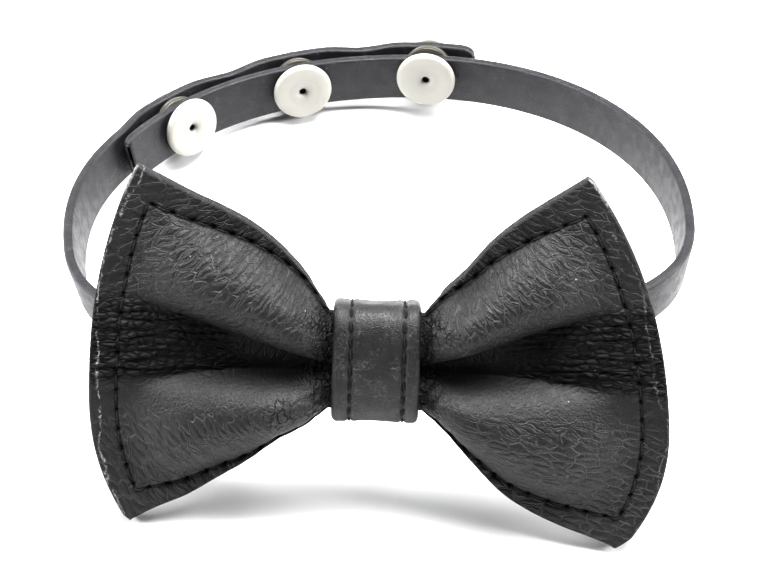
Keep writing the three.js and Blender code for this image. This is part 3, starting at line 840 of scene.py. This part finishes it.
# The sockets and studs between the strap's layers: the cream plastic darkened as painted shade
CREAM_IN_PAINTED_SHADE = snap_material("cream_plastic_in_painted_shade", (0.045, 0.043, 0.035), (0.065, 0.062, 0.05))


# The bow's two leather panels

front_panel, front_left, front_right = bow_panel(
    "bow_front_leather", "bow_front_panel", front=True, columns=170, rows=230, material=BOW_LEATHER)
back_panel, back_left, back_right = bow_panel(
    "bow_back_leather", "bow_back_panel", front=False, columns=120, rows=150, material=BOW_LEATHER)


# Stitches

def tube(path, radius, sides=7):
    """A round thread along a path: its points and faces."""
    forward = np.gradient(path, axis=0)
    forward /= np.linalg.norm(forward, axis=1)[:, None]
    level = np.cross(forward, (0.21, 0.34, 0.91))
    level /= np.linalg.norm(level, axis=1)[:, None]
    upright = np.cross(level, forward)
    turn = np.linspace(0, 2 * math.pi, sides, endpoint=False)
    ring = np.cos(turn)[None, :, None] * level[:, None] + np.sin(turn)[None, :, None] * upright[:, None]
    return (path[:, None] + radius * ring).reshape(-1, 3), grid_faces(len(path), sides, around=True)


def stitches(name, rows, matrix, material):
    """One piece of thread; a row is points, outward directions, places along it and a stitch's length."""
    points, faces, count = [], [], 0
    for line, out, along, length in rows:
        first, last = math.ceil(along[0] / length), math.floor(along[-1] / length)
        for k in range(first, last):
            at = length * (k + np.linspace(0.09, 0.91, len(STITCH_RISE)))
            here = np.column_stack([np.interp(at, along, line[:, c]) for c in range(3)])
            outward = np.column_stack([np.interp(at, along, out[:, c]) for c in range(3)])
            ring, sides = tube(here + outward * np.array(STITCH_RISE)[:, None], THREAD)
            points.append(ring)
            faces += [[v + count for v in face] for face in sides]
            count += len(ring)
    return make_piece(name, np.vstack(points), faces, material, matrix)


def seam_row(plan, side, way):
    """The row of stitches along a wing's seam, on the front or the back."""
    keep = plan["seam_line"][:, 0] > KNOT_WIDTH / 2 + 0.6
    line, below = plan["seam_line"][keep], plan["seam_below"][keep]
    height = plan["face"].ravel()[below]
    height = np.convolve(np.pad(height, 2, mode="edge"), np.ones(5) / 5, mode="valid")
    path = np.column_stack([side * line[:, 0], line[:, 1], way * height])
    return path, np.tile((0.0, 0.0, float(way)), (len(path), 1)), plan["seam_along"][keep], STITCH


stitches("seam_stitching", [
    seam_row(front_left, -1, 1),
    seam_row(front_right, 1, 1),
    seam_row(back_left, -1, -1),
    seam_row(back_right, 1, -1),
], BOW, THREAD_BLACK)


# The knot band

def band_corners():
    """The four inner corners of the band's section, up and out of the bow."""
    front = LAYER_GAP * 1.5 + WALL + FRONT_LOBE * FOLD_ROWS["upper"][0]
    behind = bow_ahead() + STRAP_THICKNESS / 2 + strap_reach()
    back = LAYER_GAP * 2 + behind * math.cos(math.radians(BOW_LEAN))
    tall = WAIST_Y + KNOT_ROOM
    short = max(WAIST_BACK_Y, STRAP_WIDTH / 2 + BOW_RISE + LAYER_GAP) + KNOT_BACK_ROOM
    return np.array([(short, -back), (tall, front), (-tall, front), (-short, -back)])


def band_line(corners, ease, count=240):
    """An even line round the band's corners, each rounded by its own ease, with its outward directions."""
    line = []
    for k, corner in enumerate(corners):
        before, after = corners[k - 1] - corner, corners[(k + 1) % 4] - corner
        enter = corner + before / np.linalg.norm(before) * ease[k]
        leave = corner + after / np.linalg.norm(after) * ease[k]
        for t in np.linspace(0, 1, 13):
            line.append((1 - t) ** 2 * enter + 2 * t * (1 - t) * corner + t * t * leave)
    line = np.array(line)
    angle = np.unwrap(np.arctan2(line[:, 1], line[:, 0]))
    even = angle[0] + np.sign(angle[-1] - angle[0]) * np.linspace(0, 2 * math.pi, count, endpoint=False)
    order = np.argsort(angle)
    line = np.column_stack([
        np.interp(even, angle[order], line[order, k], period=2 * math.pi) for k in (0, 1)
    ])
    onward = np.roll(line, -2, axis=0) - np.roll(line, 2, axis=0)
    onward /= np.linalg.norm(onward, axis=1)[:, None]
    out = np.column_stack([-onward[:, 1], onward[:, 0]])
    return line, out * np.sign((out * line).sum(axis=1))[:, None]


def band_relief(across, along):
    """The band's outer face across its width: rolled rims, a dip in the middle, two sewn grooves."""
    half = KNOT_WIDTH / 2
    rim = 0.16 * bump(np.abs(across) - (half - 1.2), 0.9)
    dip = -0.12 * bump(across, 3.2)
    into_round = np.clip((np.abs(across) - half + KNOT_ROUND) / KNOT_ROUND, 0, 1)
    edge = -0.95 * (1 - np.sqrt(np.clip(1 - into_round ** 2, 0, 1)))
    grooves = sum(
        -0.3 * bump(across - at, 0.42) + 0.1 * bump(np.abs(across - at) - 0.95, 0.5)
        for at in KNOT_STITCH_AT
    )
    return rim + dip + edge + grooves + 0.07 * layered(across / 3, along / 3, 71)


def knot_band():
    """The band round the bow's middle and its two rows of stitches."""
    corners = band_corners()
    grown = corners + KNOT_WALL * np.sign(corners)
    inner_line, _ = band_line(corners, INNER_EASES)
    line, out = band_line(grown, OUTER_EASES)
    crown = KNOT_CROWN * np.clip(line[:, 1], 0, None) / grown[1, 1] * bump(line[:, 0], 9)
    line = line + out * crown[:, None]
    across = np.linspace(-KNOT_WIDTH / 2, KNOT_WIDTH / 2, 84)
    turn = np.linspace(0, 2 * math.pi, len(line), endpoint=False)
    s, t = np.meshgrid(across, turn, indexing="ij")
    relief = band_relief(s, 9 * np.cos(t)) + 0.05 * layered(s / 3, 5 + 4 * np.sin(t), 77)
    outer = line[None] + out[None] * relief[:, :, None]
    inner = inner_line[None] + 0 * outer
    skin = [np.stack([s, p[:, :, 0], p[:, :, 1]], axis=2).reshape(-1, 3) for p in (outer, inner)]
    count, tall = len(across), len(line)
    faces = grid_faces(count, tall, around=True)
    faces += grid_faces(count, tall, around=True, flip=True, start=count * tall)
    for row, flip in ((0, True), ((count - 1) * tall, False)):
        a = np.arange(tall)
        b = (a + 1) % tall
        ring = np.column_stack([a + row, b + row, b + row + count * tall, a + row + count * tall])
        faces += (ring if flip else ring[:, ::-1]).tolist()
    skin = np.vstack(skin)
    made = make_piece("knot_band_leather", skin, faces, BAND_LEATHER, BOW, "knot_band")
    closed, outward = np.vstack([line, line[:1]]), np.vstack([out, out[:1]])
    rows = []
    for at in KNOT_STITCH_AT:
        sway = 0.16 * noise(np.arange(len(closed)) / 5, np.full(len(closed), at), 83)
        path = np.column_stack([at + sway, closed - outward * 0.22])
        along = np.concatenate([[0], np.cumsum(np.linalg.norm(np.diff(path, axis=0), axis=1))])
        length = along[-1] / round(along[-1] / KNOT_STITCH)
        rows.append((path, np.column_stack([np.zeros(len(path)), outward]), along, length))
    return made, stitches("knot_stitching", rows, BOW, THREAD_BLACK)


knot, knot_stitching = knot_band()


# The strap

def ring_at(degrees):
    """The ring's middle line, and its outward and upward directions there."""
    angle = math.radians(degrees)
    c, s = math.cos(angle), math.sin(angle)
    behind = s >= 0
    power = RING_BACK_POWER if behind else RING_FRONT_POWER
    depth = RING_BACK_DEPTH if behind else RING_FRONT_DEPTH
    reach = (abs(c / RING_HALF_WIDTH) ** power + abs(s / depth) ** power) ** (-1 / power)
    x, y = reach * c, reach * s
    nx = math.copysign(abs(x) ** (power - 1) / RING_HALF_WIDTH ** power, x)
    ny = math.copysign(abs(y) ** (power - 1) / depth ** power, y)
    nx, ny = nx / math.hypot(nx, ny), ny / math.hypot(nx, ny)
    sideways = abs(c) ** (BACK_EASE if behind else FRONT_EASE)
    flare = math.radians(lerp(BACK_FLARE if behind else FRONT_FLARE, SIDE_FLARE, sideways))
    outward = np.array([nx * math.cos(flare), ny * math.cos(flare), -math.sin(flare)])
    upward = np.array([nx * math.sin(flare), ny * math.sin(flare), math.cos(flare)])
    return np.array([x, y, 0.0]), outward, upward


def bend_rise(radius):
    """How far a flat round piece stands off the hollow side of the bent strap."""
    return BEND_ROOM * radius ** 2 / (2 * min(RING_HALF_WIDTH, RING_BACK_DEPTH))


SNAP_LAYERS = LAYER_GAP * 3 + SOCKET_HEIGHT + STUD_BASE + bend_rise(STUD_RADIUS)


def outer_layer(degrees):
    """How far the strap's outer layer lies outside the ring."""
    here = ring_at(degrees)[0]
    near = [np.linalg.norm(here - ring_at(snap["around"])[0]) for snap in SNAPS]
    swell = max(1 - smooth(far, STUD_RADIUS + 0.6, STUD_RADIUS + SNAP_SWELL) for far in near)
    apart = STRAP_THICKNESS + lerp(LAYER_REST, SNAP_LAYERS, swell)
    return apart * (1 - smooth(degrees, INNER_END + 2, INNER_END + 2 + MERGE_ANGLE))


def strap_section(half, thick):
    """A cut strap's section with rounded edges: how far out and up each point is, in millimetres."""
    points = []
    for out_way, up_way, begin in ((1, 1, 0), (-1, 1, 90), (-1, -1, 180), (1, -1, 270)):
        for turn in np.radians(begin + np.linspace(0, 90, 5)):
            points.append((
                out_way * (thick / 2 - STRAP_ROUND) + STRAP_ROUND * math.cos(turn),
                up_way * (half - STRAP_ROUND) + STRAP_ROUND * math.sin(turn),
            ))
    return np.array(points)


def strap():
    """The whole strap, from its outer end round the neck to its inner end."""
    finish = 360 + INNER_END
    near_end = np.array([0, 0.08, 0.25, 0.6, 1.1, 1.8, 2.6, 3.4])
    middle = np.arange(OUTER_END + 4.4, finish - 4, 1.6)
    angles = np.concatenate([OUTER_END + near_end, middle, (finish - near_end)[::-1]])
    rings = []
    for degrees in angles:
        here, outward, upward = ring_at(degrees)
        if degrees < 360 - INNER_END:
            here = here + outward * outer_layer(degrees)
        to_end = min(degrees - OUTER_END, finish - degrees)
        corner = 1 - min(to_end / 2.2, 1)
        half = STRAP_WIDTH / 2 - 1.6 * (1 - math.sqrt(1 - corner * corner))
        thick = STRAP_THICKNESS - 0.7 * (1 - math.sqrt(1 - (1 - min(to_end / 0.5, 1)) ** 2))
        section = strap_section(half, thick)
        rings.append(here + section[:, :1] * outward + section[:, 1:] * upward)
    sides = len(rings[0])
    points = np.array(rings).reshape(-1, 3)
    faces = grid_faces(len(rings), sides, around=True, flip=True)
    faces.append(list(range(sides)))
    faces.append(list(range(len(points) - 1, len(points) - 1 - sides, -1)))
    make_piece("strap_leather_loop", points, faces, STRAP_LEATHER, RING, "strap")


strap()


# The snaps

def turned(name, node, profile, matrix, material, hole_radius=0.0, sides=72):
    """A round piece from its profile of radius and height, about the y axis."""
    profile = np.array(profile, float)
    turn = np.linspace(0, 2 * math.pi, sides, endpoint=False)
    points = np.stack([
        np.outer(profile[:, 0], np.cos(turn)),
        np.outer(profile[:, 1], np.ones(sides)),
        np.outer(profile[:, 0], np.sin(turn)),
    ], axis=2).reshape(-1, 3)
    faces = grid_faces(len(profile), sides, around=True, flip=True)
    made = make_piece(name, points, faces, material, matrix, node)
    pinhole_shade = np.zeros(len(points))
    if hole_radius:
        across = np.hypot(points[:, 0], points[:, 2])
        # Painted shade: dark inside the pinhole, grey in the dimple round it
        dimple_shade = np.maximum(0.5 * bump(across, hole_radius * 1.7), 0.18 * bump(across, hole_radius * 4))
        pinhole_shade = np.where(points[:, 1] > 0, np.where(across < hole_radius, 1.0, dimple_shade), 0.0)
    set_field(made, "pinhole_shade", pinhole_shade)


def cap_profile(radius, height, pin):
    """A cap with a rounded rim, a softly domed face, a conical dimple and a pinhole."""
    pinhole = 0.6
    return [
        (AXIS, -pin), (0.75, -pin), (0.78, -pin + 0.06), (0.78, 0.0), (radius * 0.9, 0.0),
        (radius * 0.955, height * 0.06), (radius * 0.985, height * 0.18), (radius, height * 0.36),
        (radius * 0.995, height * 0.56), (radius * 0.975, height * 0.76), (radius * 0.94, height * 0.89),
        (radius * 0.89, height * 0.96), (radius * 0.82, height * 0.985), (radius * 0.74, height),
        (radius * 0.58, height * 0.99), (radius * 0.5, height * 0.95), (radius * 0.44, height * 0.96),
        (radius * 0.3, height * 0.97), (radius * 0.2, height * 0.9), (pinhole + 0.3, height * 0.74),
        (pinhole + 0.1, height * 0.56), (pinhole, height * 0.4), (pinhole * 0.9, height * 0.12),
        (AXIS, height * 0.1),
    ]


def disc_profile(bore, radius, low, high, ease=0.18):
    """A flat ring with eased edges."""
    return [
        (bore, low), (radius - ease, low), (radius, low + ease), (radius, high - ease),
        (radius - ease, high), (bore + ease, high), (bore, high - ease), (bore, low),
    ]


def snap(number, around, rise):
    """One fastener: a cap inside the loop, a socket and a stud between the layers, a cap outside."""
    here, outward, upward = ring_at(around)
    side = np.cross(outward, upward)
    own = RING @ axes_matrix(side, outward, upward, (here + upward * rise) * MM)
    inner_face = STRAP_THICKNESS / 2
    cap_foot = inner_face + LAYER_GAP + bend_rise(CAP_RADIUS)
    socket_foot = inner_face + LAYER_GAP
    stud_foot = socket_foot + SOCKET_HEIGHT + LAYER_GAP
    pin_top = socket_foot + SOCKET_HEIGHT * 0.2
    post = stud_foot - pin_top - LAYER_GAP
    outer_foot = inner_face + SNAP_LAYERS + STRAP_THICKNESS + LAYER_GAP
    turned_in = own @ Matrix.Rotation(math.pi, 4, "X") @ Matrix.Translation((0, cap_foot * MM, 0))
    outside = own @ Matrix.Translation((0, outer_foot * MM, 0))
    pin = outer_foot - stud_foot - STUD_BASE * 0.4 - LAYER_GAP
    turned(f"inner_cap_{number}", f"snap_inner_cap_{number}",
           cap_profile(CAP_RADIUS, CAP_HEIGHT, cap_foot + pin_top), turned_in, CREAM, CAP_HOLE)
    turned(f"back_cap_{number}", f"snap_back_cap_{number}",
           cap_profile(BACK_CAP_RADIUS, BACK_CAP_HEIGHT, pin), outside, CREAM, CAP_HOLE)
    turned(f"socket_{number}", f"snap_socket_{number}",
           disc_profile(SOCKET_BORE, SOCKET_RADIUS, socket_foot, socket_foot + SOCKET_HEIGHT), own, CREAM_IN_PAINTED_SHADE)
    hollow = stud_foot + STUD_BASE * 0.4
    stud = [
        (AXIS, stud_foot - post), (STUD_POST - 0.2, stud_foot - post), (STUD_POST, stud_foot - post + 0.2),
        (STUD_POST, stud_foot), (STUD_RADIUS - 0.15, stud_foot), (STUD_RADIUS, stud_foot + 0.15),
        (STUD_RADIUS, stud_foot + STUD_BASE - 0.15), (STUD_RADIUS - 0.15, stud_foot + STUD_BASE),
        (STUD_HOLLOW, stud_foot + STUD_BASE), (STUD_HOLLOW, hollow), (AXIS, hollow),
    ]
    turned(f"stud_{number}", f"snap_stud_{number}", stud, own, CREAM_IN_PAINTED_SHADE)


for number, place in enumerate(SNAPS, start=1):
    snap(number, place["around"], place["rise"])


# Floor, light and camera

def floor():
    mesh = bpy.data.meshes.new("floor")
    corners = [(x * FLOOR_HALF, y * FLOOR_HALF, 0) for x, y in ((-1, -1), (1, -1), (1, 1), (-1, 1))]
    mesh.from_pydata(corners, [], [(0, 1, 2, 3)])
    made = bpy.data.objects.new("floor", mesh)
    bpy.context.scene.collection.objects.link(made)
    paper = bpy.data.materials.new("pale_floor")
    paper.use_nodes = True
    shader = paper.node_tree.nodes["Principled BSDF"]
    shader.inputs["Base Color"].default_value = (0.9, 0.9, 0.9, 1)
    shader.inputs["Roughness"].default_value = 0.9
    mesh.materials.append(paper)


def softbox(name, place, target, size, power):
    data = bpy.data.lights.new(name, "AREA")
    data.shape = "RECTANGLE"
    data.size, data.size_y = size
    data.energy = power
    made = bpy.data.objects.new(name, data)
    made.location = place
    made.rotation_mode = "QUATERNION"
    made.rotation_quaternion = (Vector(target) - Vector(place)).to_track_quat("-Z", "Y")
    bpy.context.scene.collection.objects.link(made)


def camera():
    data = bpy.data.cameras.new("camera")
    data.lens = CAMERA_LENS
    data.clip_start = 0.01
    made = bpy.data.objects.new("camera", data)
    made.location = CAMERA_AT
    made.rotation_mode = "QUATERNION"
    aim = (CAMERA_TARGET - CAMERA_AT).to_track_quat("-Z", "Y")
    made.rotation_quaternion = aim @ Quaternion((0, 0, 1), CAMERA_ROLL)
    bpy.context.scene.collection.objects.link(made)
    bpy.context.scene.camera = made


def daylight(strength):
    world = bpy.data.worlds.new("studio")
    world.use_nodes = True
    world.node_tree.nodes["Background"].inputs["Color"].default_value = (1, 1, 1, 1)
    world.node_tree.nodes["Background"].inputs["Strength"].default_value = strength
    bpy.context.scene.world = world


bpy.context.scene.view_settings.view_transform = "Standard"
bpy.context.scene.view_settings.look = "High Contrast"
floor()
daylight(0.12)
softbox("overhead", place=(0.05, 0.24, 0.86), target=(0, 0, 0), size=(0.8, 0.5), power=22)
softbox("left", place=(-0.8, 0.12, 0.42), target=(0, 0, 0.02), size=(0.3, 0.4), power=9)
softbox("right", place=(0.8, 0.12, 0.42), target=(0, 0, 0.02), size=(0.3, 0.4), power=8)
camera()
